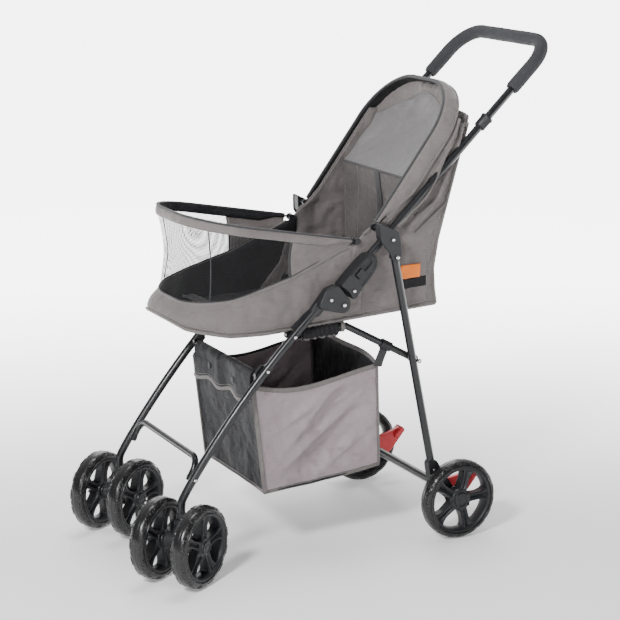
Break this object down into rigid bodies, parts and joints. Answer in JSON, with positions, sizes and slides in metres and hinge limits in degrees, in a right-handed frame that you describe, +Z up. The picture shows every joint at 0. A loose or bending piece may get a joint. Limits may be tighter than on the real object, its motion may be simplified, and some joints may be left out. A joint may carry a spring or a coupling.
{
  "type": "pet stroller",
  "caption": "Folding pet stroller with a fabric cabin, a mesh visor, a folding hood, a foam handle, a basket, front casters, rear wheels and foot brakes.",
  "frame": {"origin": "on the ground, under the middle of the outer box", "axes": "+Z up, -Y towards the front, +X towards the stroller's left side"},
  "size_m": [0.4713, 0.8885, 0.9446],
  "materials": {
    "powder_coat": "semi-gloss powder coat",
    "plated_steel": "bright zinc plate",
    "hoop_wire": "satin",
    "dark_plastic": "moulded, fine texture",
    "button_plastic": "moulded, fine texture",
    "wheel_plastic": "moulded, satin",
    "tyre_rubber": "matt rubber",
    "grip_foam": "closed-cell foam",
    "red_plastic": "gloss",
    "taupe_fabric": "woven polyester",
    "mesh_fabric": "open mesh",
    "mat_fabric": "quilted polyester",
    "floor_panel": "plain board"
  },
  "bodies": {
    "front_frame": {"front_leg_left": "powder_coat", "front_leg_right": "powder_coat", "upper_crossbar": "powder_coat", "lower_crossbar": "powder_coat", "latch_base_left": "dark_plastic", "latch_base_right": "dark_plastic", "frame_rivets": "plated_steel", "fold_pins": "plated_steel", "link_pins": "plated_steel", "cabin_tub": "taupe_fabric", "floor_board": "floor_panel", "floor_mat": "mat_fabric", "basket": "taupe_fabric", "visor_pins": "dark_plastic"},
    "caster_left": {"caster_left": "dark_plastic", "caster_axle_left": "plated_steel"},
    "caster_right": {"caster_right": "dark_plastic", "caster_axle_right": "plated_steel"},
    "handle": {"handle_tube": "powder_coat", "foam_grip": "grip_foam", "handle_collars": "dark_plastic", "side_plate_left": "dark_plastic", "side_plate_right": "dark_plastic", "latch_housing_left": "dark_plastic", "latch_housing_right": "dark_plastic", "handle_pins": "plated_steel", "cabin_back": "taupe_fabric"},
    "slider_left": {"latch_slider_left": "button_plastic"},
    "slider_right": {"latch_slider_right": "button_plastic"},
    "hood": {"hood_hoop": "hoop_wire", "hood_fabric": "taupe_fabric"},
    "visor": {"visor_hoop": "hoop_wire", "visor_mesh": "mesh_fabric"},
    "rear_frame": {"rear_leg_left": "powder_coat", "rear_leg_right": "powder_coat", "axle_tube": "powder_coat", "axle_rod": "plated_steel", "axle_bracket_left": "dark_plastic", "axle_bracket_right": "dark_plastic", "rear_rivets": "plated_steel"},
    "rear_wheel_left": {"rear_rim_left": "wheel_plastic", "rear_tyre_left": "tyre_rubber"},
    "brake_left": {"brake_pedal_left": "red_plastic"},
    "link_left": {"floor_link_left": "powder_coat", "link_sleeve_left": "dark_plastic"},
    "front_wheel_left_outer": {"front_rim_left_outer": "wheel_plastic", "front_tyre_left_outer": "tyre_rubber"},
    "front_wheel_left_inner": {"front_rim_left_inner": "wheel_plastic", "front_tyre_left_inner": "tyre_rubber"},
    "rear_wheel_right": {"rear_rim_right": "wheel_plastic", "rear_tyre_right": "tyre_rubber"},
    "brake_right": {"brake_pedal_right": "red_plastic"},
    "link_right": {"floor_link_right": "powder_coat", "link_sleeve_right": "dark_plastic"},
    "front_wheel_right_outer": {"front_rim_right_outer": "wheel_plastic", "front_tyre_right_outer": "tyre_rubber"},
    "front_wheel_right_inner": {"front_rim_right_inner": "wheel_plastic", "front_tyre_right_inner": "tyre_rubber"}
  },
  "joints": [
    {"name": "fold", "type": "hinge", "parent": "front_frame", "child": "handle", "pos_m": [0, -0.017, 0.479], "axis": [-1, 0, 0], "range_deg": [0, 110], "deforming": ["cabin_back", "basket"]},
    {"name": "rear_fold", "type": "hinge", "parent": "handle", "child": "rear_frame", "pos_m": [0, 0.088, 0.559], "axis": [-1, 0, 0], "range_deg": [-65, 0]},
    {"name": "link_left_turn", "type": "hinge", "parent": "front_frame", "child": "link_left", "pos_m": [0.1305, -0.11225, 0.42752], "axis": [-1, 0, 0], "range_deg": [0, 66]},
    {"name": "link_right_turn", "type": "hinge", "parent": "front_frame", "child": "link_right", "pos_m": [-0.1305, -0.11225, 0.42752], "axis": [-1, 0, 0], "range_deg": [0, 66]},
    {"name": "hood_turn", "type": "hinge", "parent": "handle", "child": "hood", "pos_m": [0, 0.06, 0.612], "axis": [1, 0, 0], "range_deg": [0, 95], "deforming": ["hood_fabric"]},
    {"name": "visor_turn", "type": "hinge", "parent": "front_frame", "child": "visor", "pos_m": [0, 0.025, 0.588], "axis": [1, 0, 0], "range_deg": [0, 25], "deforming": ["visor_mesh"]},
    {"name": "caster_left_swivel", "type": "hinge", "parent": "front_frame", "child": "caster_left", "pos_m": [0.148, -0.33994, 0.11], "axis": [0, 0, 1], "continuous": true},
    {"name": "front_wheel_left_outer_spin", "type": "hinge", "parent": "caster_left", "child": "front_wheel_left_outer", "pos_m": [0.19051, -0.32399, 0.076], "axis": [0.848, 0.5299, 0], "continuous": true},
    {"name": "front_wheel_left_inner_spin", "type": "hinge", "parent": "caster_left", "child": "front_wheel_left_inner", "pos_m": [0.11503, -0.37115, 0.076], "axis": [0.848, 0.5299, 0], "continuous": true},
    {"name": "rear_wheel_left_spin", "type": "hinge", "parent": "rear_frame", "child": "rear_wheel_left", "pos_m": [0.191, 0.217, 0.0773], "axis": [1, 0, 0], "continuous": true},
    {"name": "brake_left_press", "type": "hinge", "parent": "rear_frame", "child": "brake_left", "pos_m": [0.146, 0.205, 0.092], "axis": [-1, 0, 0], "range_deg": [0, 18]},
    {"name": "latch_left_slide", "type": "slide", "parent": "handle", "child": "slider_left", "axis": [0, 0.7266, 0.6871], "range_m": [0, 0.015], "stiffness_N_per_m": 300},
    {"name": "caster_right_swivel", "type": "hinge", "parent": "front_frame", "child": "caster_right", "pos_m": [-0.148, -0.33994, 0.11], "axis": [0, 0, 1], "continuous": true},
    {"name": "front_wheel_right_outer_spin", "type": "hinge", "parent": "caster_right", "child": "front_wheel_right_outer", "pos_m": [-0.1823, -0.36969, 0.076], "axis": [0.8704, 0.4924, 0], "continuous": true},
    {"name": "front_wheel_right_inner_spin", "type": "hinge", "parent": "caster_right", "child": "front_wheel_right_inner", "pos_m": [-0.10484, -0.32586, 0.076], "axis": [0.8704, 0.4924, 0], "continuous": true},
    {"name": "rear_wheel_right_spin", "type": "hinge", "parent": "rear_frame", "child": "rear_wheel_right", "pos_m": [-0.191, 0.217, 0.0773], "axis": [1, 0, 0], "continuous": true},
    {"name": "brake_right_press", "type": "hinge", "parent": "rear_frame", "child": "brake_right", "pos_m": [-0.146, 0.205, 0.092], "axis": [-1, 0, 0], "range_deg": [0, 18]},
    {"name": "latch_right_slide", "type": "slide", "parent": "handle", "child": "slider_right", "axis": [0, 0.7266, 0.6871], "range_m": [0, 0.015], "stiffness_N_per_m": 300}
  ],
  "couplings": [
    {"joint": "rear_fold", "follows": "fold", "ratio": -0.587},
    {"joint": "link_left_turn", "follows": "fold", "ratio": 0.594},
    {"joint": "link_right_turn", "follows": "fold", "ratio": 0.594}
  ]
}
